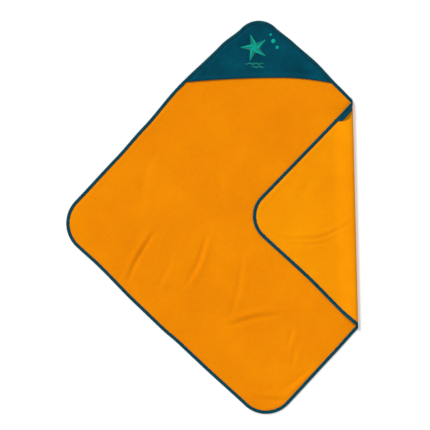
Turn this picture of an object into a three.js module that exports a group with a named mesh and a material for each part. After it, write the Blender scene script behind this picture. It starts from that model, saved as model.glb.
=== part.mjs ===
// Child's hooded bath and beach towel, laid face up with its right-hand corner folded over.
// Millimetres, +Z up. The origin is on the surface it lies on, under the middle of its outline.
//
// Every piece is drawn flat first, with the face up and z = 0 on the surface below, then its
// faces are sliced along the fold and the whole is bent by one rule, so the layers keep their gaps.
import * as THREE from 'three';
import { mergeVertices } from 'three/addons/utils/BufferGeometryUtils.js';

const { clamp, degToRad, lerp, smoothstep } = THREE.MathUtils;

// The cut. u runs along the lower left and upper right sides, v along the other two.
const LAY_TURN = -43.45; // degrees from +X to the u direction of the laid towel
const CORNERS = [
  { name: 'left', u: -494, v: -500, radius: 109 },
  { name: 'bottom', u: 500, v: -497, radius: 104 },
  { name: 'right', u: 501, v: 504, radius: 95 },
  { name: 'hood', u: -486, v: 498, radius: 80 },
];
// How far each side bows out, along it from its middle. Side i goes from corner i to the next.
const BOWS = [
  [{ along: -300, out: -1.5 }, { along: -110, out: 5 }, { along: 10, out: 6 },
    { along: 90, out: 3 }, { along: 200, out: 3 }],
  [{ along: -170, out: -3 }, { along: -60, out: -5.5 }, { along: 40, out: 0 },
    { along: 190, out: -4 }],
  [{ along: -20, out: 0 }, { along: 60, out: 0.5 }, { along: 120, out: 2.5 },
    { along: 235, out: 9 }, { along: 330, out: 5.5 }],
  [{ along: -330, out: 11 }, { along: -130, out: 18.5 }, { along: 50, out: 8.5 },
    { along: 190, out: 3 }],
];
const SIDE_STEP = 45;
const CORNER_STEPS = 8;

// Cloth, tape and the gap kept at every seam.
const CLOTH = 3; // terry wall
const TAPE = 0.8; // woven binding tape
const SEAM_GAP = 0.3;
const TAPE_WIDTH = 11.5; // what shows of the binding on either side
const PINCHED = 1.4; // terry squeezed inside the binding
const EASE = 4; // run over which the squeezed edge swells to full thickness

// Hood: a corner patch over the face, caught in the same binding, with a turned hem.
const HEM_ENDS = { left: { x: -263, y: 455 }, right: { x: 241.5, y: 452 } };
const HEM_CREST = { x: 64, y: 471 };
const HOOD_CLOTH = 2.5;
const HOOD_PINCHED = 1.2;
const HEM_DEPTH = 13;
const HEM_EXTRA = 1.1; // more thickness where the hem is turned under
const HEM_RAMP = 2;
const BINDING_STEP_DOWN = { from: 4, to: 24 }; // distances below the hem

// The folded corner.
const FOLD_X = 308.4; // where the cloth leaves the surface
const FOLD_TILT = 1.4; // degrees that the fold leans from the Y direction
const FOLD_RADIUS = 8;
const SETTLE = 60; // run over which the flap comes down to lie flat
const ARC_STEPS = 16;
const SETTLE_STEPS = 16;

// Hanger loop: a strip of the same tape on the reverse, its ends sewn over the binding.
const LOOP = { start: -28, end: 47, width: 11.5, edgeInset: 6.5, midInset: 18.5, rise: 9 };
const LOOP_STEPS = 24;
const LOOP_FOOT = 0.1; // share of its length that is sewn down at either end
const LOOP_SLANT = 0.22; // share of its length in which it clears the binding

// Heights worked out from those.
const LEG_TOP = TAPE; // top of the binding's leg on the reverse
const EDGE_BOTTOM = LEG_TOP + SEAM_GAP;
const EDGE_TOP = EDGE_BOTTOM + PINCHED;
const FACE_LEG = EDGE_TOP + SEAM_GAP;
const BINDING_TOP = FACE_LEG + TAPE;
const HOOD_EDGE_BOTTOM = EDGE_TOP + SEAM_GAP;
const HOOD_EDGE_TOP = HOOD_EDGE_BOTTOM + HOOD_PINCHED;
const HOOD_LIFT = HOOD_EDGE_TOP + SEAM_GAP - FACE_LEG;
const EDGE_INSET = TAPE + SEAM_GAP;
const PINCH_INSET = TAPE_WIDTH + SEAM_GAP;
const FIELD_INSET = PINCH_INSET + EASE;
const FLAP_REST = CLOTH + SEAM_GAP + BINDING_TOP - CLOTH / 2; // middle of the settled flap

// Where the laid outline is.
const uAxis = new THREE.Vector2(1, 0).rotateAround(new THREE.Vector2(), degToRad(LAY_TURN));
const vAxis = new THREE.Vector2(-uAxis.y, uAxis.x);
const laid = (u, v) => new THREE.Vector2().addScaledVector(uAxis, u).addScaledVector(vAxis, v);

function bowAt(knots, along, start, end) {
  const table = [{ along: start, out: 0 }, ...knots, { along: end, out: 0 }];
  const next = Math.max(1, table.findIndex((knot) => knot.along >= along));
  const [a, b] = [table[next - 1], table[next]];
  return lerp(a.out, b.out, smoothstep(along, a.along, b.along));
}

// The finished edge, anticlockwise, as points with their outward normals.
function finishedEdge() {
  const corner = CORNERS.map(({ u, v }) => laid(u, v));
  const heading = corner.map((at, i) => corner[(i + 1) % 4].clone().sub(at).normalize());
  const tangent = CORNERS.map(({ radius }, i) => {
    const turn = Math.acos(heading[(i + 3) % 4].dot(heading[i]));
    return radius * Math.tan(turn / 2);
  });
  const points = [];
  for (let i = 0; i < 4; i += 1) {
    const next = (i + 1) % 4;
    const length = corner[i].distanceTo(corner[next]);
    const outward = new THREE.Vector2(heading[i].y, -heading[i].x);
    const start = tangent[i] - length / 2;
    const end = length / 2 - tangent[next];
    const steps = Math.round((end - start) / SIDE_STEP);
    for (let step = 0; step <= steps; step += 1) {
      const along = lerp(start, end, step / steps);
      points.push(corner[i].clone().lerp(corner[next], along / length + 0.5)
        .addScaledVector(outward, bowAt(BOWS[i], along, start, end)));
    }
    const centre = corner[next].clone().addScaledVector(heading[i], -tangent[next])
      .addScaledVector(outward, -CORNERS[next].radius);
    const from = outward.angle();
    const turned = Math.acos(heading[i].dot(heading[next]));
    for (let step = 1; step < CORNER_STEPS; step += 1) {
      const angle = from + (turned * step) / CORNER_STEPS;
      const spoke = new THREE.Vector2(Math.cos(angle), Math.sin(angle));
      points.push(centre.clone().addScaledVector(spoke, CORNERS[next].radius));
    }
  }
  return points.map((at, i) => {
    const along = points[(i + 1) % points.length].clone().sub(points.at(i - 1)).normalize();
    return { at, normal: new THREE.Vector2(along.y, -along.x) };
  });
}

const EDGE = finishedEdge();
const insetPoint = ({ at, normal }, inset) => at.clone().addScaledVector(normal, -inset);

// Slicing. A corner of a polygon is an array that starts with x and y; cutting an edge mixes the
// whole array, always from the same end of the edge, so that neighbouring polygons still meet.
function crossing(a, b, level, value) {
  const [from, to] = a[0] < b[0] || (a[0] === b[0] && a[1] < b[1]) ? [a, b] : [b, a];
  const share = (value - level(from)) / (level(to) - level(from));
  return from.map((start, i) => lerp(start, to[i], share));
}

function cut(polygon, level, value) {
  const below = [];
  const above = [];
  polygon.forEach((point, i) => {
    const next = polygon[(i + 1) % polygon.length];
    const here = level(point) - value;
    const there = level(next) - value;
    if (here <= 0) below.push(point);
    if (here >= 0) above.push(point);
    if (here * there < 0) {
      const between = crossing(point, next, level, value);
      below.push(between);
      above.push(between);
    }
  });
  return [below, above].filter((piece) => piece.length > 2);
}

const slice = (polygons, level, values) => values.reduce(
  (pieces, value) => pieces.flatMap((polygon) => cut(polygon, level, value)),
  polygons,
);

// The fold: flat cloth, then half a turn of a cylinder, then a flap that comes down to rest.
const tilt = degToRad(FOLD_TILT);
const pastFold = ([x, y]) => x * Math.cos(tilt) + y * Math.sin(tilt) - FOLD_X;
const alongFold = ([x, y]) => y * Math.cos(tilt) - x * Math.sin(tilt);
const ARC_LENGTH = Math.PI * FOLD_RADIUS;
const FLAP_TOP = CLOTH / 2 + 2 * FOLD_RADIUS;
const FLAP_DROP = FLAP_TOP - FLAP_REST;
const SETTLE_LENGTH = SETTLE + (0.6 * FLAP_DROP ** 2) / SETTLE; // length of the S-shaped descent
const steps = (count, length, start) => (
  Array.from({ length: count }, (_, i) => start + (length * (i + 1)) / count));
const FOLD_LINES = [0, ...steps(ARC_STEPS, ARC_LENGTH, 0),
  ...steps(SETTLE_STEPS, SETTLE_LENGTH, ARC_LENGTH)];

function folded([x, y, z]) {
  const past = pastFold([x, y]);
  if (past <= 0) return [x, y, z];
  const towardFace = z - CLOTH / 2;
  let out;
  let height;
  if (past < ARC_LENGTH) {
    const angle = past / FOLD_RADIUS;
    out = (FOLD_RADIUS - towardFace) * Math.sin(angle);
    height = CLOTH / 2 + FOLD_RADIUS - (FOLD_RADIUS - towardFace) * Math.cos(angle);
  } else {
    const travelled = past - ARC_LENGTH;
    const run = travelled < SETTLE_LENGTH
      ? (travelled * SETTLE) / SETTLE_LENGTH : travelled - SETTLE_LENGTH + SETTLE;
    out = -run;
    height = FLAP_TOP - FLAP_DROP * smoothstep(run, 0, SETTLE) - towardFace;
  }
  const across = FOLD_X + out;
  const along = alongFold([x, y]);
  return [
    across * Math.cos(tilt) - along * Math.sin(tilt),
    across * Math.sin(tilt) + along * Math.cos(tilt),
    height,
  ];
}

// Polygons in space to one closed geometry. A polygon of many sides fans out from its middle.
const PLAIN_FAN = 6;
function triangles(polygon) {
  const fan = (hub, rim) => rim.slice(1).map((point, i) => [hub, rim[i], point]);
  if (polygon.length <= PLAIN_FAN) return fan(polygon[0], polygon.slice(1));
  const middle = [0, 1, 2].map((axis) => (
    polygon.reduce((sum, point) => sum + point[axis], 0) / polygon.length));
  return fan(middle, [...polygon, polygon[0]]);
}

function bentGeometry(polygons) {
  const positions = slice(polygons, pastFold, FOLD_LINES)
    .flatMap(triangles).flat().flatMap(folded);
  const geometry = new THREE.BufferGeometry();
  geometry.setAttribute('position', new THREE.Float32BufferAttribute(positions, 3));
  const merged = mergeVertices(geometry, 1e-3);
  merged.computeVertexNormals();
  return merged;
}

// A panel is a set of plan polygons whose corners are [x, y, top, bottom]: its two faces, and a
// wall along every edge that only one polygon has.
function panelFaces(plan) {
  const key = (point) => `${point[0].toFixed(4)},${point[1].toFixed(4)}`;
  const rim = new Map();
  const faces = [];
  for (const polygon of plan) {
    faces.push(polygon.map(([x, y, top]) => [x, y, top]));
    faces.push(polygon.map(([x, y, , bottom]) => [x, y, bottom]).reverse());
    polygon.forEach((point, i) => {
      const next = polygon[(i + 1) % polygon.length];
      if (!rim.delete(`${key(next)} ${key(point)}`)) {
        rim.set(`${key(point)} ${key(next)}`, [point, next]);
      }
    });
  }
  for (const [a, b] of rim.values()) {
    faces.push([[a[0], a[1], a[3]], [b[0], b[1], b[3]], [b[0], b[1], b[2]], [a[0], a[1], a[2]]]);
  }
  return faces;
}

// Plan of a panel that fills the finished edge: bands between rings of the given insets, then the
// field inside the last. Each ring is { inset, data }, and data follows x and y in every corner.
function edgePlan(rings) {
  const ringPoints = rings.map(({ inset, data }) => EDGE.map((station) => {
    const { x, y } = insetPoint(station, inset);
    return [x, y, ...data];
  }));
  const bands = ringPoints.slice(1).flatMap((inner, band) => EDGE.map((_, i) => {
    const next = (i + 1) % EDGE.length;
    return [ringPoints[band][i], ringPoints[band][next], inner[next], inner[i]];
  }));
  return [...bands, ringPoints.at(-1)];
}

// The field is drawn in strips, so that no polygon is large. Both reaches are from the fold.
const STRIP = 90;
const BODY_REACH = 970;
const FLAP_REACH = 370;
const stripLines = (from, to) => (
  Array.from({ length: Math.ceil((to - from) / STRIP) }, (_, i) => from + i * STRIP));

function bodyPanel() {
  const plan = edgePlan([
    { inset: EDGE_INSET, data: [EDGE_TOP, EDGE_BOTTOM] },
    { inset: PINCH_INSET, data: [EDGE_TOP, EDGE_BOTTOM] },
    { inset: FIELD_INSET, data: [CLOTH, 0] },
  ]);
  const flapStart = FOLD_LINES.at(-1) + STRIP;
  const sliced = slice(plan, pastFold,
    [...stripLines(-BODY_REACH, 0), ...FOLD_LINES, ...stripLines(flapStart, FLAP_REACH)]);
  return bentGeometry(panelFaces(sliced));
}

function hemHeight(x) {
  const end = x < HEM_CREST.x ? HEM_ENDS.left : HEM_ENDS.right;
  const share = (x - HEM_CREST.x) / (end.x - HEM_CREST.x);
  return lerp(HEM_CREST.y, end.y, share ** 2);
}
const aboveHem = ([x, y]) => y - hemHeight(x);

function hoodPanel() {
  const fieldBottom = CLOTH + SEAM_GAP;
  // The third value says how far the hem's extra thickness counts: not inside the binding.
  const plan = edgePlan([
    { inset: EDGE_INSET, data: [HOOD_EDGE_TOP, HOOD_EDGE_BOTTOM, 0] },
    { inset: PINCH_INSET, data: [HOOD_EDGE_TOP, HOOD_EDGE_BOTTOM, 0] },
    { inset: FIELD_INSET, data: [fieldBottom + HOOD_CLOTH, fieldBottom, 1] },
  ]);
  const strips = slice(plan, ([x]) => x, stripLines(HEM_ENDS.left.x, HEM_ENDS.right.x));
  const hood = slice(strips, aboveHem, [0, HEM_DEPTH, HEM_DEPTH + HEM_RAMP])
    .filter((polygon) => Math.max(...polygon.map(aboveHem)) > SEAM_GAP);
  const withHem = hood.map((polygon) => polygon.map((point) => {
    const [x, y, top, bottom, counts] = point;
    const turned = 1 - smoothstep(aboveHem(point), HEM_DEPTH, HEM_DEPTH + HEM_RAMP);
    return [x, y, top + HEM_EXTRA * turned * counts, bottom];
  }));
  return bentGeometry(panelFaces(withHem));
}

// The binding wraps the whole edge: a C section, its face leg lifted where the hood lies under it.
function edgeBinding() {
  const section = [
    { inset: 0, z: 0 }, { inset: 0, z: BINDING_TOP },
    { inset: TAPE_WIDTH, z: BINDING_TOP }, { inset: TAPE_WIDTH, z: FACE_LEG },
    { inset: TAPE, z: FACE_LEG }, { inset: TAPE, z: LEG_TOP },
    { inset: TAPE_WIDTH, z: LEG_TOP }, { inset: TAPE_WIDTH, z: 0 },
  ];
  const rings = section.map(({ inset, z }) => EDGE.map((station) => {
    const { x, y } = insetPoint(station, inset);
    return [x, y, z];
  }));
  const quads = rings.flatMap((ring, row) => EDGE.map((_, i) => {
    const next = (i + 1) % EDGE.length;
    const beside = rings[(row + 1) % rings.length];
    return [ring[i], ring[next], beside[next], beside[i]];
  }));
  const { from, to } = BINDING_STEP_DOWN;
  const levels = [0, 1, 2, 3].map((step) => lerp(-to, -from, step / 3));
  const lifted = slice(quads, aboveHem, levels).map((quad) => quad.map((point) => {
    const [x, y, z] = point;
    const share = z > LEG_TOP ? smoothstep(aboveHem(point), -to, -from) : 0;
    return [x, y, z + HOOD_LIFT * share];
  }));
  return bentGeometry(lifted);
}

// The loop stands off the reverse in a low arch and slants clear of the binding.
function hangerLoop() {
  const station = (i) => {
    const t = i / LOOP_STEPS;
    const clear = smoothstep(t, 0, LOOP_SLANT) * (1 - smoothstep(t, 1 - LOOP_SLANT, 1));
    const span = clamp((t - LOOP_FOOT) / (1 - 2 * LOOP_FOOT), 0, 1);
    const middle = CORNERS[2].v - lerp(LOOP.edgeInset, LOOP.midInset, clear);
    const top = -SEAM_GAP - LOOP.rise * Math.sin(Math.PI * span) ** 2;
    return [-0.5, 0.5].map((side) => {
      const { x, y } = laid(lerp(LOOP.start, LOOP.end, t), middle + side * LOOP.width);
      return [x, y, top, top - TAPE];
    });
  };
  const plan = Array.from({ length: LOOP_STEPS }, (_, i) => {
    const [[inner, outer], [nextInner, nextOuter]] = [station(i), station(i + 1)];
    return [inner, nextInner, nextOuter, outer];
  });
  return bentGeometry(panelFaces(slice(plan, pastFold, FOLD_LINES)));
}

const fabric = (color, roughness) => (
  new THREE.MeshStandardMaterial({ color, roughness, metalness: 0 }));
const PIECES = [
  { name: 'body_panel', geometry: bodyPanel(), material: fabric('#f58d06', 0.95) },
  { name: 'hood_panel', geometry: hoodPanel(), material: fabric('#034b5c', 0.95) },
  { name: 'edge_binding', geometry: edgeBinding(), material: fabric('#123f4c', 0.8) },
  { name: 'hanger_loop', geometry: hangerLoop(), material: fabric('#144452', 0.8) },
];

const towel = new THREE.Group();
for (const { name, geometry, material } of PIECES) {
  const mesh = new THREE.Mesh(geometry, material);
  mesh.name = name;
  towel.add(mesh);
}
const outline = new THREE.Box3().setFromObject(towel);
const centre = outline.getCenter(new THREE.Vector3());
towel.position.set(-centre.x, -centre.y, -outline.min.z);
towel.updateMatrixWorld(true);

export default towel;
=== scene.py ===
"""Child's hooded towel in terry, laid face up with its right-hand corner folded over.

Lengths are millimetres until a mesh is made. The pieces are drawn flat and bent by one fold rule,
the same as the frame's solids, and each visible surface then gets its own relief and finish.
"""
import math

import bpy
import numpy as np
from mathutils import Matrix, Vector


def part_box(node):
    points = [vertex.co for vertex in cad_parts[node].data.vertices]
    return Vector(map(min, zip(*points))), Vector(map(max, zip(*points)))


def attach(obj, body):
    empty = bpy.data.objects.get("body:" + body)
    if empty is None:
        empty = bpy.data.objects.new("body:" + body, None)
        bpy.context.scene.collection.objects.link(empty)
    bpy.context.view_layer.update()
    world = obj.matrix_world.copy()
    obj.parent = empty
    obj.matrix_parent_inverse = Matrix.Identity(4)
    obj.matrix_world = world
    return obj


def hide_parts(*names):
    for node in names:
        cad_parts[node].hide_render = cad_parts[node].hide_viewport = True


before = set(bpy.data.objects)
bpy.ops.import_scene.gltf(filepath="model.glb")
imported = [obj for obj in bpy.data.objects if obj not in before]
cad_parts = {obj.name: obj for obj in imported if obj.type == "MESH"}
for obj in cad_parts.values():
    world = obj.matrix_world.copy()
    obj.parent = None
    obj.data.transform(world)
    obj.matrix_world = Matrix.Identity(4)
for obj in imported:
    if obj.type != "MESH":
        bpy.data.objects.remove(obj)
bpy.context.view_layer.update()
rng = np.random.default_rng(7)
MM = 0.001

# ---------------------------------------------------------------- the cut, as in the solids
LAY_TURN = math.radians(-43.45)
CORNERS = [  # u, v, radius
    (-494, -500, 109), (500, -497, 104), (501, 504, 95), (-486, 498, 80)]
BOWS = [  # along, out; one line for each side of the cut
    [(-300, -1.5), (-110, 5), (10, 6), (90, 3), (200, 3)],
    [(-170, -3), (-60, -5.5), (40, 0), (190, -4)],
    [(-20, 0), (60, 0.5), (120, 2.5), (235, 9), (330, 5.5)],
    [(-330, 11), (-130, 18.5), (50, 8.5), (190, 3)]]
CLOTH = 3.0
TAPE = 0.8
GAP = 0.3
TAPE_WIDTH = 11.5
EDGE_BOTTOM = TAPE + GAP
EDGE_TOP = EDGE_BOTTOM + 1.4
FACE_LEG = EDGE_TOP + GAP
BINDING_TOP = FACE_LEG + TAPE
HOOD_LIFT = 1.5
HOOD_TOP = 5.8
HOOD_BOTTOM = CLOTH + GAP
HEM_DEPTH = 13.0
HEM_LEFT, HEM_CREST, HEM_RIGHT = (-263, 455), (64, 471), (241.5, 452)
FOLD_X = 308.4
FOLD_TILT = math.radians(1.4)
FOLD_RADIUS = 8.0
SETTLE = 60.0
ARC_LENGTH = math.pi * FOLD_RADIUS
FLAP_TOP = CLOTH / 2 + 2 * FOLD_RADIUS
FLAP_REST = CLOTH + GAP + BINDING_TOP - CLOTH / 2
FLAP_DROP = FLAP_TOP - FLAP_REST
SETTLE_LENGTH = SETTLE + 0.6 * FLAP_DROP ** 2 / SETTLE
LOOP_START, LOOP_END, LOOP_RISE = -28, 47, 9.0
LOOP_EDGE_INSET, LOOP_MID_INSET = 6.5, 18.5
LOOP_FOOT, LOOP_SLANT = 0.1, 0.22


def smooth(x, low, high):
    t = np.clip((np.asarray(x, float) - low) / (high - low), 0, 1)
    return t * t * (3 - 2 * t)


def laid(u, v):
    """Places on the square cut to where they lie before the fold."""
    u, v = np.asarray(u), np.asarray(v)
    c, s = math.cos(LAY_TURN), math.sin(LAY_TURN)
    return np.stack([u * c - v * s, u * s + v * c], -1)


def bow_at(knots, along, start, end):
    """How far a side stands out of its straight line."""
    table = np.array([(start, 0), *knots, (end, 0)], float)
    i = np.clip(np.searchsorted(table[:, 0], along), 1, len(table) - 1)
    a, b = table[i - 1], table[i]
    return a[:, 1] + (b[:, 1] - a[:, 1]) * smooth((along - a[:, 0]) / (b[:, 0] - a[:, 0]), 0, 1)


def outward_of(ring):
    """Outward normals of an anticlockwise ring of points."""
    along = np.roll(ring, -1, 0) - np.roll(ring, 1, 0)
    along /= np.linalg.norm(along, axis=1)[:, None]
    return np.stack([along[:, 1], -along[:, 0]], -1)


def finished_edge(step):
    """Points of the finished edge, anticlockwise, with outward normals, about `step` apart."""
    corner = np.array([laid(u, v) for u, v, _ in CORNERS])
    ahead = np.roll(corner, -1, 0) - corner
    length = np.linalg.norm(ahead, axis=1)
    heading = ahead / length[:, None]
    turn = [math.acos(heading[i - 1] @ heading[i]) for i in range(4)]
    tangent = [CORNERS[i][2] * math.tan(turn[i] / 2) for i in range(4)]
    points = []
    for i in range(4):
        nxt = (i + 1) % 4
        outward = np.array([heading[i][1], -heading[i][0]])
        start, end = tangent[i] - length[i] / 2, length[i] / 2 - tangent[nxt]
        along = np.linspace(start, end, round((end - start) / step) + 1)
        middle = (corner[i] + corner[nxt]) / 2
        side = middle + along[:, None] * heading[i]
        points.append(side + bow_at(BOWS[i], along, start, end)[:, None] * outward)
        radius = CORNERS[nxt][2]
        centre = corner[nxt] - heading[i] * tangent[nxt] - outward * radius
        count = max(3, round(radius * turn[nxt] / step))
        angle = math.atan2(outward[1], outward[0]) + turn[nxt] * np.arange(1, count) / count
        points.append(centre + radius * np.stack([np.cos(angle), np.sin(angle)], -1))
    points = np.concatenate(points)
    return points, outward_of(points)


EDGE, EDGE_OUT = finished_edge(4.0)


def resampled(points, count):
    """`count` points evenly spaced round a closed line, and its length."""
    closed = np.vstack([points, points[:1]])
    run = np.concatenate([[0], np.cumsum(np.linalg.norm(np.diff(closed, axis=0), axis=1))])
    at = np.linspace(0, run[-1], count, endpoint=False)
    return np.stack([np.interp(at, run, closed[:, axis]) for axis in (0, 1)], -1), run[-1]


INSET_BATCH = 4000  # points measured at a time


def inset_of(xy):
    """Signed distance inside the finished edge."""
    flat = xy.reshape(-1, 2)
    result = np.empty(len(flat))
    for start in range(0, len(flat), INSET_BATCH):
        part = flat[start:start + INSET_BATCH]
        gap = part[:, None, :] - EDGE[None, :, :]
        nearest = (gap ** 2).sum(-1).argmin(1)
        rows = np.arange(len(part))
        result[start:start + INSET_BATCH] = -(gap[rows, nearest] * EDGE_OUT[nearest]).sum(-1)
    return result.reshape(xy.shape[:-1])


def hem_height(x):
    """y of the hood's hem, a low arch in two halves."""
    x = np.asarray(x, float)
    end_x = np.where(x < HEM_CREST[0], HEM_LEFT[0], HEM_RIGHT[0])
    end_y = np.where(x < HEM_CREST[0], HEM_LEFT[1], HEM_RIGHT[1])
    share = (x - HEM_CREST[0]) / (end_x - HEM_CREST[0])
    return HEM_CREST[1] + (end_y - HEM_CREST[1]) * share ** 2


# ---------------------------------------------------------------- the fold
def past_fold(xy):
    """Distance beyond the fold line, square to it."""
    return xy[..., 0] * math.cos(FOLD_TILT) + xy[..., 1] * math.sin(FOLD_TILT) - FOLD_X


def folded(points):
    """Flat points (x, y, z) to where they lie."""
    x, y, z = points[..., 0], points[..., 1], points[..., 2]
    past = past_fold(points)
    along = y * math.cos(FOLD_TILT) - x * math.sin(FOLD_TILT)
    toward_face = z - CLOTH / 2
    angle = np.clip(past, 0, ARC_LENGTH) / FOLD_RADIUS
    travelled = past - ARC_LENGTH
    run = np.where(travelled < SETTLE_LENGTH, travelled * SETTLE / SETTLE_LENGTH,
                   travelled - SETTLE_LENGTH + SETTLE)
    on_arc = past < ARC_LENGTH
    out = np.where(on_arc, (FOLD_RADIUS - toward_face) * np.sin(angle), -run)
    height = np.where(
        on_arc, CLOTH / 2 + FOLD_RADIUS - (FOLD_RADIUS - toward_face) * np.cos(angle),
        FLAP_TOP - FLAP_DROP * smooth(run, 0, SETTLE) - toward_face)
    out, height = np.where(past <= 0, past, out), np.where(past <= 0, z, height)
    across = FOLD_X + out
    c, s = math.cos(FOLD_TILT), math.sin(FOLD_TILT)
    return np.stack([across * c - along * s, across * s + along * c, height], -1)


def mirrored(xy):
    """Where on the flat cloth the flap's point over xy comes from."""
    out = past_fold(xy)
    past = ARC_LENGTH - out + (SETTLE_LENGTH - SETTLE)
    c, s = math.cos(FOLD_TILT), math.sin(FOLD_TILT)
    shift = past - out
    return xy + np.stack([shift * c, shift * s], -1)


# ---------------------------------------------------------------- creases and soft relief
CREASES = [  # path, depth (minus is a ridge), width, height of the roll on its left
    ([(-350, 235), (-385, 160), (-398, 100), (-401, 33)], 1.2, 16, 0.8),
    ([(-357, -45), (-392, -100), (-424, -155), (-448, -213)], 3.4, 8, -2.4),
    ([(-182, -55), (-196, -105), (-214, -160), (-250, -223)], 3.2, 9, 2.2),
    ([(-300, -139), (-325, -190), (-347, -237)], 1.2, 10, 0.7),
    ([(-145, 249), (-140, 170), (-138, 100), (-121, 13)], 1.0, 18, 0.7),
    ([(-61, -122), (-70, -190), (-78, -247), (-105, -338)], 2.0, 10, 1.2),
    ([(-105, -362), (-60, -350), (-13, -337), (64, -327)], 2.4, 10, 2.2),
    ([(108, -372), (98, -405), (88, -439)], 2.2, 8, 1.4),
    ([(115, -439), (110, -475), (104, -507)], 1.6, 8, 1.0),
    ([(175, -507), (125, -545), (74, -584)], 1.2, 10, 1.6),
    ([(-13, -608), (40, -615), (88, -618)], 1.8, 9, 1.0),
    ([(37, -136), (54, -169)], 1.2, 8, 0.8)]
FLAP_CREASES = [
    ([(64, -71), (130, -73), (199, -68), (260, -42), (305, -14)], 1.8, 7, 1.2),
    ([(90, -88), (150, -92), (215, -84), (290, -48)], 1.1, 8, 0.8),
    ([(120, 60), (150, 95), (170, 140)], 0.8, 14, 0.5)]
HOOD_CREASES = [
    ([(-100, 492), (0, 488), (100, 489), (190, 484)], 1.2, 9, 1.0),
    ([(-168, 530), (-178, 505), (-182, 486)], 1.2, 9, 0.8),
    ([(-80, 528), (-90, 508), (-96, 494)], 1.0, 8, 0.7)]


def spline(path, count=16):
    """Points on a smooth curve through a path."""
    path = np.array(path, float)
    at = np.linspace(0, len(path) - 1, count)
    ends = np.vstack([2 * path[0] - path[1], path, 2 * path[-1] - path[-2]])
    i = np.minimum(at.astype(int), len(path) - 2)
    t = (at - i)[:, None]
    a, b, c, d = (ends[i + k] for k in range(4))
    return 0.5 * (2 * b + (c - a) * t + (2 * a - 5 * b + 4 * c - d) * t ** 2
                  + (3 * b - a - 3 * c + d) * t ** 3)


def crease_relief(xy, creases):
    """Height of the creases: a trough along each path and a roll beside it, both fading at the ends."""
    relief = np.zeros(xy.shape[:-1])
    for path, depth, width, roll in creases:
        line = spline(path)
        best = np.full(relief.shape, 1e9)
        signed = np.zeros(relief.shape)
        share = np.zeros(relief.shape)
        for k in range(len(line) - 1):
            ahead = line[k + 1] - line[k]
            size = np.linalg.norm(ahead)
            ahead = ahead / size
            gap = xy - line[k]
            t = np.clip(gap @ ahead, 0, size)
            away = gap - t[..., None] * ahead
            distance = np.linalg.norm(away, axis=-1)
            closer = distance < best
            best = np.where(closer, distance, best)
            side = np.sign(ahead[0] * gap[..., 1] - ahead[1] * gap[..., 0])
            signed = np.where(closer, side * distance, signed)
            share = np.where(closer, (k + t / size) / (len(line) - 1), share)
        fade = np.sin(np.pi * np.clip(share * 0.92 + 0.04, 0, 1)) ** 0.7
        turned = signed * np.sign(roll)
        shape = abs(roll) * np.exp(-((turned - 1.7 * width) / (1.3 * width)) ** 2)
        shape = shape - depth * np.exp(-(signed / (0.8 * width)) ** 2)
        relief += shape * fade * np.exp(-(np.maximum(best - 4 * width, 0) / width) ** 2)
    return relief


def waves(xy, size, seed, count=14):
    """Smooth random relief, about one high, with bumps about `size` across."""
    local = np.random.default_rng(seed)
    total = np.zeros(xy.shape[:-1])
    for _ in range(count):
        angle = local.uniform(0, 2 * math.pi)
        number = 2 * math.pi / (size * local.uniform(0.7, 1.8))
        phase = local.uniform(0, 2 * math.pi)
        across = xy[..., 0] * math.cos(angle) + xy[..., 1] * math.sin(angle)
        total += np.sin(across * number + phase)
    return total / math.sqrt(count)


# ---------------------------------------------------------------- meshes
CLOTH_INSET = 3.0  # from the finished edge to where the cloth ends inside its binding
SQUEEZE = 5.0  # width over which the cloth thins towards the binding
PUFF_INSET, PUFF_WIDTH = 21, 8  # soft ridge of cloth just inside the binding
BODY_COUNT = 206  # grid points along each side

# Drawn places to places in the frame.
cad_binding_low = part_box("edge_binding")[0]
laid_edge = folded(np.column_stack([EDGE, np.zeros(len(EDGE))]))
SHIFT = np.array([cad_binding_low[0] / MM - laid_edge[:, 0].min(),
                  cad_binding_low[1] / MM - laid_edge[:, 1].min(), 0.0])


def make_piece(name, points, faces, materials, replaced, face_material=None):
    mesh = bpy.data.meshes.new(name)
    mesh.from_pydata(((points + SHIFT) * MM).tolist(), [], [list(map(int, f)) for f in faces])
    mesh.update()
    for material in materials:
        mesh.materials.append(material)
    if face_material is not None:
        mesh.polygons.foreach_set("material_index", np.asarray(face_material, np.int32))
    mesh.polygons.foreach_set("use_smooth", np.ones(len(mesh.polygons), bool))
    piece = bpy.data.objects.new(name, mesh)
    bpy.context.scene.collection.objects.link(piece)
    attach(piece, "root")
    if replaced:
        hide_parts(replaced)
    return piece


def grid_faces(rows, columns, first=0, flip=False):
    i, j = np.meshgrid(np.arange(rows - 1), np.arange(columns - 1), indexing="ij")
    a = first + i * columns + j
    quads = np.stack([a, a + 1, a + 1 + columns, a + columns], -1).reshape(-1, 4)
    return quads[:, ::-1] if flip else quads


def shell(top, bottom):
    """Closed faces of a two-sided sheet from two equal grids of points."""
    rows, columns = top.shape[:2]
    count = rows * columns
    points = np.concatenate([top.reshape(-1, 3), bottom.reshape(-1, 3)])
    index = np.arange(count).reshape(rows, columns)
    rim = np.concatenate([index[0, :-1], index[:-1, -1], index[-1, :0:-1], index[:0:-1, 0]])
    nxt = np.roll(rim, -1)
    walls = np.stack([rim, rim + count, nxt + count, nxt], -1)
    upper = grid_faces(rows, columns)
    lower = grid_faces(rows, columns, count, flip=True)
    kinds = np.concatenate([np.zeros(len(upper)), np.ones(len(lower)), np.zeros(len(walls))])
    return points, np.concatenate([upper, lower, walls]), kinds


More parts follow.
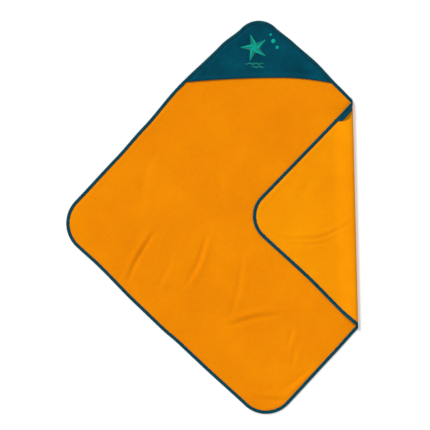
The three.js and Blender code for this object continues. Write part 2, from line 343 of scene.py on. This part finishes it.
def cloth_grid(count, inset):
    """Square grid over the whole cut whose four borders follow its four sides."""
    ring = EDGE - EDGE_OUT * inset
    tips = [((ring - laid(u, v)) ** 2).sum(-1).argmin() for u, v, _ in CORNERS]
    sides = []
    for i in range(4):
        first, last = tips[i], tips[(i + 1) % 4]
        last += len(ring) if last < first else 0
        line = ring[np.arange(first, last + 1) % len(ring)]
        run = np.concatenate([[0], np.cumsum(np.linalg.norm(np.diff(line, axis=0), axis=1))])
        at = np.linspace(0, run[-1], count)
        sides.append(np.stack([np.interp(at, run, line[:, axis]) for axis in (0, 1)], -1))
    near, right, far, left = sides[0], sides[1], sides[2][::-1], sides[3][::-1]
    s = np.linspace(0, 1, count)[None, :, None]
    t = np.linspace(0, 1, count)[:, None, None]
    ruled = (1 - t) * near[None] + t * far[None] + (1 - s) * left[:, None] + s * right[:, None]
    corners = ((1 - s) * (1 - t) * near[0] + s * (1 - t) * near[-1]
               + (1 - s) * t * far[0] + s * t * far[-1])
    return ruled - corners


def make_body(material_face, material_back):
    xy = cloth_grid(BODY_COUNT, CLOTH_INSET)
    inset = inset_of(xy)
    full = smooth(inset, TAPE_WIDTH, TAPE_WIDTH + SQUEEZE)
    inner = smooth(inset, 16, 46)
    seam_puff = full * np.exp(-((inset - PUFF_INSET) / PUFF_WIDTH) ** 2)
    quilt = waves(xy, 17, 3)
    under_flap = smooth(inset_of(mirrored(xy)), -14, 2)
    free = 1 - under_flap
    on_flap = past_fold(xy) > 0
    relief = (crease_relief(xy, CREASES) * full + 0.35 * waves(xy, 150, 5) * inner
              + 0.10 * quilt * full + seam_puff * (0.45 + 0.35 * waves(xy, 60, 9)))
    lower_top = np.where(on_flap, 0, relief * free)
    plan = folded(np.concatenate([xy, np.zeros(xy.shape[:-1] + (1,))], -1))[..., :2]
    settled = smooth(past_fold(xy), ARC_LENGTH * 0.6, ARC_LENGTH + 30)
    raised = (crease_relief(plan, FLAP_CREASES) + 0.35 * (1 + waves(xy, 120, 11)) * inner
              + 0.10 * quilt) * full + seam_puff * (0.5 + 0.4 * waves(xy, 50, 13))
    lift = np.where(on_flap, np.maximum(raised, -0.6) * settled, 0)
    top = EDGE_TOP + (CLOTH - EDGE_TOP) * full + lower_top
    bottom = EDGE_BOTTOM * (1 - full) - lift
    faces_up = folded(np.concatenate([xy, top[..., None]], -1))
    faces_down = folded(np.concatenate([xy, bottom[..., None]], -1))
    points, faces, kinds = shell(faces_up, faces_down)
    return make_piece("towel_body", points, faces, [material_face, material_back],
                      "body_panel", kinds)


def make_hood(material):
    rows, columns = 100, 240
    ring, _ = resampled(EDGE - EDGE_OUT * CLOTH_INSET, 9000)
    above = ring[:, 1] - hem_height(ring[:, 0])
    hood_ring = ring[above > -40]
    apex = above.max() - 0.2
    level = apex * np.sin(np.linspace(0, math.pi / 2, rows))
    level[0] = 0
    peak_x = hood_ring[(hood_ring[:, 1] - hem_height(hood_ring[:, 0])).argmax(), 0]
    grid = np.empty((rows, columns, 2))
    for row, at in enumerate(level):
        near = hood_ring[np.abs(hood_ring[:, 1] - hem_height(hood_ring[:, 0]) - at) < 0.7]
        left, right = near[near[:, 0] < peak_x, 0].min(), near[near[:, 0] >= peak_x, 0].max()
        grid[row, :, 0] = np.linspace(left, right, columns)
        grid[row, :, 1] = hem_height(grid[row, :, 0]) + at
    inset = inset_of(grid)
    above = grid[..., 1] - hem_height(grid[..., 0])
    full = smooth(inset, TAPE_WIDTH, TAPE_WIDTH + SQUEEZE)
    turned = 1 - smooth(above, HEM_DEPTH - 1.5, HEM_DEPTH + 1.5)
    stitch_dip = 0.7 * np.exp(-((above - HEM_DEPTH + 1.5) / 1.3) ** 2)
    roll = 0.8 * smooth(-above, -3, 0)
    edge_top = EDGE_TOP + GAP + 1.2
    puff = full * np.exp(-((inset - PUFF_INSET) / PUFF_WIDTH) ** 2) * 0.5
    relief = (crease_relief(grid, HOOD_CREASES) + 0.3 * waves(grid, 90, 21)
              + 0.1 * waves(grid, 15, 22))
    top = edge_top + full * (HOOD_TOP - edge_top + 1.1 * turned - stitch_dip - roll
                             + relief * smooth(above, 4, 26)) + puff
    bottom = EDGE_TOP + GAP + (HOOD_BOTTOM - EDGE_TOP - GAP) * full
    top = np.maximum(top, bottom + 0.7)
    points, faces, _ = shell(np.concatenate([grid, top[..., None]], -1),
                             np.concatenate([grid, bottom[..., None]], -1))
    piece = make_piece("towel_hood", points, faces, [material], "hood_panel")
    return piece, top, grid


def binding_lift(xy):
    """How much higher the binding's face runs where it wraps the hood too."""
    return HOOD_LIFT * smooth(xy[..., 1] - hem_height(xy[..., 0]), -24, -4)


def binding_wobble(count):
    """Ripple of the tape along its run, which closes on itself."""
    turn = np.linspace(0, 2 * math.pi, count, endpoint=False)
    total = np.zeros(count)
    for waves_round, size in ((173, 0.5), (231, 0.4), (97, 0.35), (331, 0.25)):
        total += size * np.sin(waves_round * turn + rng.uniform(0, 6.28))
    return total


def make_binding(material):
    edge, perimeter = resampled(EDGE, 1300)
    outward = outward_of(edge)
    lift = binding_lift(edge)
    ripple = binding_wobble(len(edge))
    ripple_back = binding_wobble(len(edge))
    section = [  # inset, z, share of the hood's lift, share of the ripple (minus for the back)
        (0.0, 0.9, 0, 0), (0.0, 1.9, 0.5, 0), (0.25, 3.0, 1, 0), (1.2, 3.65, 1, 0.1),
        (4.0, 3.75, 1, 0.3), (8.0, 3.65, 1, 0.35), (10.9, 3.55, 1, 0.3), (11.5, 3.25, 1, 0.2),
        (11.3, 2.85, 1, 0.1), (6.0, 2.8, 1, 0), (1.0, 2.8, 1, 0), (0.8, 1.8, 0.5, 0),
        (1.0, 0.8, 0, 0), (6.0, 0.8, 0, 0), (11.3, 0.75, 0, 0), (11.5, 0.4, 0, 0),
        (10.9, 0.08, 0, 0), (8.0, 0.0, 0, -0.35), (4.0, 0.0, 0, -0.3), (1.2, 0.05, 0, 0),
        (0.25, 0.35, 0, 0)]
    on_flap = past_fold(edge) > ARC_LENGTH
    rings = []
    for inset, z, lifted, rippled in section:
        side = edge - outward * (inset + 0.35 * ripple_back * (inset > 10))[:, None]
        wave = np.where(rippled < 0, np.where(on_flap, rippled * np.abs(ripple_back), 0),
                        np.where(on_flap, 0, rippled * ripple))
        rings.append(np.concatenate([side, (z + lifted * lift + wave)[:, None]], -1))
    points = folded(np.stack(rings))
    count = len(edge)
    j = np.arange(count)
    k = (j + 1) % count
    faces = []
    for row in range(len(section)):
        here, below = row * count, (row + 1) % len(section) * count
        faces.append(np.stack([here + j, here + k, below + k, below + j], -1))
    piece = make_piece("towel_binding", points.reshape(-1, 3), np.concatenate(faces), [material],
                       "edge_binding")
    return piece, perimeter


def loop_stations(count):
    """Along, across and height of the loop's upper side, from one foot to the other."""
    t = np.linspace(0, 1, count)
    clear = smooth(t, 0, LOOP_SLANT) * (1 - smooth(t, 1 - LOOP_SLANT, 1))
    span = np.clip((t - LOOP_FOOT) / (1 - 2 * LOOP_FOOT), 0, 1)
    middle = CORNERS[2][1] - (LOOP_EDGE_INSET + (LOOP_MID_INSET - LOOP_EDGE_INSET) * clear)
    top = -GAP - LOOP_RISE * np.sin(np.pi * span) ** 2
    return LOOP_START + (LOOP_END - LOOP_START) * t, middle, top


def make_loop(material):
    rows, columns = 90, 15
    u, middle, top = loop_stations(rows)
    across = np.linspace(-TAPE_WIDTH / 2, TAPE_WIDTH / 2, columns)
    crown = 0.25 * (1 - (across / (TAPE_WIDTH / 2)) ** 4)
    xy = laid(np.repeat(u[:, None], columns, 1), middle[:, None] + across[None, :])
    upper = np.concatenate([xy, np.repeat(top[:, None], columns, 1)[..., None]], -1)
    lower = upper.copy()
    lower[..., 2] -= TAPE - 0.25 + crown[None, :]
    points, faces, _ = shell(folded(upper), folded(lower))
    return make_piece("towel_loop", points, faces[:, ::-1], [material], "hanger_loop")


# ---------------------------------------------------------------- thread
def strands(name, starts, ends, arch, radius, material, sides=6, steps=5, flat=0.6):
    """Joined mesh of short closed threads from starts to ends, each a low arch that dips at its ends."""
    starts, ends = np.asarray(starts, float), np.asarray(ends, float)
    t = np.linspace(0, 1, steps)
    axis = ends - starts
    length = np.linalg.norm(axis, axis=1)[:, None]
    axis = axis / length
    up = np.array([0.0, 0.0, 1.0])
    side = np.cross(axis, up)
    side /= np.linalg.norm(side, axis=1)[:, None]
    lift = np.cross(side, axis)
    centre = starts[:, None] + axis[:, None] * (length * t)[..., None]
    centre = centre + lift[:, None] * (arch * np.sin(np.pi * t))[None, :, None]
    taper = np.sin(np.pi * np.clip(t * 0.84 + 0.08, 0, 1)) ** 0.4
    angle = np.linspace(0, 2 * math.pi, sides, endpoint=False)
    ring = (side[:, None, None] * np.cos(angle)[None, None, :, None]
            + lift[:, None, None] * (flat * np.sin(angle))[None, None, :, None])
    points = centre[:, :, None] + ring * (radius * taper)[None, :, None, None]
    per = steps * sides
    j = np.arange(sides)
    k = (j + 1) % sides
    quads = np.concatenate([np.stack([s * sides + j, s * sides + k, (s + 1) * sides + k,
                                      (s + 1) * sides + j], -1) for s in range(steps - 1)])
    faces = [list(map(int, q[::-1])) for first in range(len(starts)) for q in quads + first * per]
    for first in range(len(starts)):
        base = first * per
        faces.append([base + int(i) for i in j])
        faces.append([base + per - sides + int(i) for i in j[::-1]])
    return make_piece(name, points.reshape(-1, 3), faces, [material], None)


STITCH_INSET = 9.6
STITCH_PROUD = 0.12
STITCH_PITCH, STITCH_LENGTH = 4.6, 3.3


def along_ring(ring, at):
    """Points of a closed ring at places counted in its own points."""
    count = len(ring)
    run = np.arange(count)
    return np.stack([np.interp(at % count, run, ring[:, axis], period=count) for axis in range(3)], -1)


def topstitch(name, face, material):
    """Row of stitches all round, on the binding's face or on its back."""
    edge, perimeter = resampled(EDGE, 2600)
    height = np.full(len(edge), -STITCH_PROUD)
    if face:
        height = BINDING_TOP + STITCH_PROUD + binding_lift(edge)
    line = folded(np.column_stack([edge - outward_of(edge) * STITCH_INSET, height]))
    count = int(perimeter / STITCH_PITCH)
    at = np.arange(count) * len(line) / count
    reach = STITCH_LENGTH / perimeter * len(line)
    return strands(name, along_ring(line, at), along_ring(line, at + reach), 0.25, 0.42, material,
                   sides=5, steps=4)


# ---------------------------------------------------------------- materials
def node(tree, kind, **inputs):
    made = tree.nodes.new(kind)
    for key, value in inputs.items():
        made.inputs[key].default_value = value
    return made


def ramp_of(tree, factor, dark, light):
    """Colour between two, by a factor that stays near a half."""
    ramp = tree.nodes.new("ShaderNodeValToRGB")
    ramp.color_ramp.elements[0].position = 0.32
    ramp.color_ramp.elements[0].color = (*dark, 1)
    ramp.color_ramp.elements[1].position = 0.68
    ramp.color_ramp.elements[1].color = (*light, 1)
    tree.links.new(factor, ramp.inputs["Fac"])
    return ramp.outputs["Color"]


def fabric_material(name, dark, light, grain, relief, rough, sheen, patch_scale=5.0, cells=False):
    """Cloth of mixed dark and light patches, with pile as bump: round loops for cells, else fibres."""
    material = bpy.data.materials.new(name)
    material.use_nodes = True
    tree = material.node_tree
    shader = tree.nodes["Principled BSDF"]
    shader.inputs["Roughness"].default_value = rough
    shader.inputs["Sheen Weight"].default_value = sheen
    shader.inputs["Sheen Roughness"].default_value = 0.5
    shader.inputs["Sheen Tint"].default_value = (*[min(1, c * 1.1 + 0.05) for c in light[:3]], 1)
    shader.inputs["Specular IOR Level"].default_value = 0.05
    place = tree.nodes.new("ShaderNodeTexCoord")
    patches = node(tree, "ShaderNodeTexNoise", Scale=patch_scale, Detail=4.0, Roughness=0.6)
    tufts = node(tree, "ShaderNodeTexNoise", Scale=grain * 0.4, Detail=3.0, Roughness=0.7)
    tree.links.new(place.outputs["Object"], patches.inputs["Vector"])
    tree.links.new(place.outputs["Object"], tufts.inputs["Vector"])
    blend = tree.nodes.new("ShaderNodeMix")
    blend.data_type = "FLOAT"
    blend.inputs[0].default_value = 0.5
    tree.links.new(patches.outputs["Fac"], blend.inputs[2])
    tree.links.new(tufts.outputs["Fac"], blend.inputs[3])
    tree.links.new(ramp_of(tree, blend.outputs[0], dark, light), shader.inputs["Base Color"])
    if cells:
        pile = node(tree, "ShaderNodeTexVoronoi", Scale=grain)
        pile_out = pile.outputs["Distance"]
    else:
        pile = node(tree, "ShaderNodeTexNoise", Scale=grain, Detail=5.0, Roughness=0.75)
        pile_out = pile.outputs["Fac"]
    tree.links.new(place.outputs["Object"], pile.inputs["Vector"])
    bump = node(tree, "ShaderNodeBump", Strength=relief, Distance=0.0009)
    tree.links.new(pile_out, bump.inputs["Height"])
    tree.links.new(bump.outputs["Normal"], shader.inputs["Normal"])
    return material


def srgb(*levels):
    """Linear colour from 0 to 255 display levels."""
    return tuple((c / 255 / 12.92) if c <= 10 else ((c / 255 + 0.055) / 1.055) ** 2.4 for c in levels)


# Name, dark and light colour, grain, bump, roughness, sheen.
TERRY_FACE = fabric_material("terry_loops", srgb(236, 130, 2), srgb(255, 152, 2),
                             620, 0.55, 0.95, 0.03, cells=True)
TERRY_BACK = fabric_material("terry_velour", srgb(240, 140, 1), srgb(255, 160, 2),
                             900, 0.4, 0.92, 0.04)
HOOD_TERRY = fabric_material("hood_velour", srgb(0, 50, 64), srgb(2, 86, 108),
                             800, 0.45, 0.9, 0.04, patch_scale=11.0)
TAPE_WEAVE = fabric_material("binding_tape", srgb(2, 58, 73), srgb(12, 78, 92),
                             1500, 0.4, 0.8, 0.03, patch_scale=40.0)
THREAD = fabric_material("tape_thread", srgb(14, 60, 74), srgb(34, 88, 102), 2500, 0.2, 0.6, 0.05)
MINT = fabric_material("mint_thread", srgb(0, 158, 136), srgb(16, 196, 170), 2500, 0.2, 0.5, 0.1)
DEEP_MINT = fabric_material("deep_mint_thread", srgb(24, 118, 106), srgb(44, 146, 128),
                            2500, 0.2, 0.5, 0.1)

# ---------------------------------------------------------------- build
body = make_body(TERRY_FACE, TERRY_BACK)
hood, hood_top, hood_grid = make_hood(HOOD_TERRY)
binding, perimeter = make_binding(TAPE_WEAVE)
loop = make_loop(TAPE_WEAVE)
stitches = [topstitch("binding_stitches_face", True, THREAD),
            topstitch("binding_stitches_back", False, THREAD)]

# Hem stitches across the hood.
HEM_STITCH_PITCH, HEM_STITCH_LENGTH = 4.4, 3.2
hem_x = np.arange(HEM_LEFT[0] + 22, HEM_RIGHT[0] - 20, HEM_STITCH_PITCH)


def hem_point(x):
    return np.stack([x, hem_height(x) + HEM_DEPTH - 1.5, np.full(len(x), HOOD_TOP + 0.45)], -1)


hem_stitches = strands("hem_stitches", hem_point(hem_x), hem_point(hem_x + HEM_STITCH_LENGTH),
                       0.2, 0.4, THREAD, sides=5, steps=4)


# Embroidery in satin stitch: a starfish with bubbles over two ripples.
def hood_surface(xy):
    """Height of the hood's top at the nearest point of its grid."""
    near = ((hood_grid[None] - xy[:, None, None]) ** 2).sum(-1).reshape(len(xy), -1).argmin(1)
    return hood_top.reshape(-1)[near]


STAR_CENTRE = np.array([-22.0, 572.0])
ARM_LENGTH = 46.0
ARM_ROOT = 13.0
STITCH_GAP = 0.75
RIPPLE_PITCH = 21
BUBBLE_RISE = np.array([0.5, 0.86])
BUBBLE_STITCH = np.array([0.86, -0.5])


def satin(centre_line, half_width, turn):
    """Ends of the stitches that cross a line from one edge to the other."""
    side = np.array([-math.sin(turn), math.cos(turn)])
    return centre_line - side * half_width[:, None], centre_line + side * half_width[:, None]


def star_stitches():
    """Stitches of the star: each arm is mint on one half and deep mint on the other."""
    mint, deep = [[], []], [[], []]
    for arm in range(5):
        turn = math.radians(90 + 72 * arm + 14)
        ahead = np.array([math.cos(turn), math.sin(turn)])
        reach = np.arange(4.0, ARM_LENGTH, STITCH_GAP)
        share = reach / ARM_LENGTH
        bend = np.array([-ahead[1], ahead[0]]) * 3.0
        line = STAR_CENTRE + ahead * reach[:, None] + bend * (share[:, None] ** 2)
        half = ARM_ROOT * (1 - share) ** 0.72 * (0.72 + 0.28 * np.cos(share * 3)) + 1.4
        left, right = satin(line, half, turn)
        for store, a, b in ((mint, left, line), (deep, line, right)):
            store[0].append(a)
            store[1].append(b)
    return [[np.concatenate(side) for side in store] for store in (mint, deep)]


def bubble(centre, radius):
    """Stitches across a disc."""
    rise = np.arange(-radius + 0.4, radius, STITCH_GAP)
    half = np.sqrt(radius ** 2 - rise ** 2)
    line = centre + BUBBLE_RISE * rise[:, None]
    return line - BUBBLE_STITCH * half[:, None], line + BUBBLE_STITCH * half[:, None]


def ripple_line(centre, width, swing, thick):
    """Stitches across a wavy line."""
    reach = np.arange(-width / 2, width / 2, STITCH_GAP)
    line = centre + np.stack([reach, swing * np.sin(reach * 2 * math.pi / RIPPLE_PITCH)], -1)
    half = thick * np.sqrt(np.clip(1 - (2 * reach / width) ** 2, 0.05, 1))
    lean = np.array([0.25, 0.97])
    return line - lean * half[:, None], line + lean * half[:, None]


(mint_a, mint_b), (deep_a, deep_b) = star_stitches()
for ripple_at, width in (((-22, 518), 66), ((-10, 507), 46)):
    a, b = ripple_line(np.array(ripple_at, float), width, 1.8, 3.0)
    deep_a, deep_b = np.concatenate([deep_a, a]), np.concatenate([deep_b, b])
for bubble_at, size in (((42, 594), 7.5), ((55, 573), 5.5), ((33, 616), 4.2)):
    a, b = bubble(np.array(bubble_at, float), size)
    mint_a, mint_b = np.concatenate([mint_a, a]), np.concatenate([mint_b, b])
eye_a, eye_b = bubble(STAR_CENTRE, 9.5)
mint_a, mint_b = np.concatenate([mint_a, eye_a]), np.concatenate([mint_b, eye_b])


def on_hood(xy):
    return np.concatenate([xy, (hood_surface(xy) + 0.1)[:, None]], -1)


embroidery = [
    strands("embroidery_mint", on_hood(mint_a), on_hood(mint_b), 0.7, 0.5, MINT),
    strands("embroidery_deep", on_hood(deep_a), on_hood(deep_b), 0.6, 0.5, DEEP_MINT)]


# ---------------------------------------------------------------- floor, lights and camera
FLOOR_GLOW = 0.22  # only where the camera or a reflection sees the floor


def make_floor():
    bpy.ops.mesh.primitive_plane_add(size=8, location=(0, 0, -0.0002))
    floor = bpy.context.object
    floor.name = "floor"
    material = bpy.data.materials.new("pale_floor")
    material.use_nodes = True
    tree = material.node_tree
    shader = tree.nodes["Principled BSDF"]
    shader.inputs["Base Color"].default_value = (0.86, 0.86, 0.86, 1)
    shader.inputs["Roughness"].default_value = 0.9
    shader.inputs["Emission Color"].default_value = (1, 1, 1, 1)
    path = tree.nodes.new("ShaderNodeLightPath")
    seen = tree.nodes.new("ShaderNodeMath")
    seen.operation = "MAXIMUM"
    tree.links.new(path.outputs["Is Camera Ray"], seen.inputs[0])
    tree.links.new(path.outputs["Is Glossy Ray"], seen.inputs[1])
    glow = tree.nodes.new("ShaderNodeMath")
    glow.operation = "MULTIPLY"
    glow.inputs[1].default_value = FLOOR_GLOW
    tree.links.new(seen.outputs[0], glow.inputs[0])
    tree.links.new(glow.outputs[0], shader.inputs["Emission Strength"])
    floor.data.materials.append(material)


WORLD_STRENGTH = 0.55
KEY_STRENGTH = 2.25


def make_lights():
    world = bpy.data.worlds.new("studio")
    bpy.context.scene.world = world
    world.use_nodes = True
    background = world.node_tree.nodes["Background"]
    background.inputs["Color"].default_value = (1, 1, 1, 1)
    background.inputs["Strength"].default_value = WORLD_STRENGTH
    sun = bpy.data.lights.new("key", "SUN")
    sun.energy = KEY_STRENGTH
    sun.angle = math.radians(14)
    holder = bpy.data.objects.new("key", sun)
    holder.rotation_euler = (math.radians(54), 0, math.radians(218))
    bpy.context.scene.collection.objects.link(holder)


VIEW_WIDTH = 1.4504  # m of the surface across the picture
CAMERA_HEIGHT = 4.0
LOOK_AT = (0.0099, 0.0078)


def make_camera():
    camera = bpy.data.cameras.new("camera")
    camera.sensor_width = 36
    camera.lens = 36 * CAMERA_HEIGHT / VIEW_WIDTH
    camera.clip_end = 50
    holder = bpy.data.objects.new("camera", camera)
    holder.location = (*LOOK_AT, CAMERA_HEIGHT)
    bpy.context.scene.collection.objects.link(holder)
    bpy.context.scene.camera = holder


make_floor()
make_lights()
make_camera()
bpy.context.scene.view_settings.view_transform = "Standard"
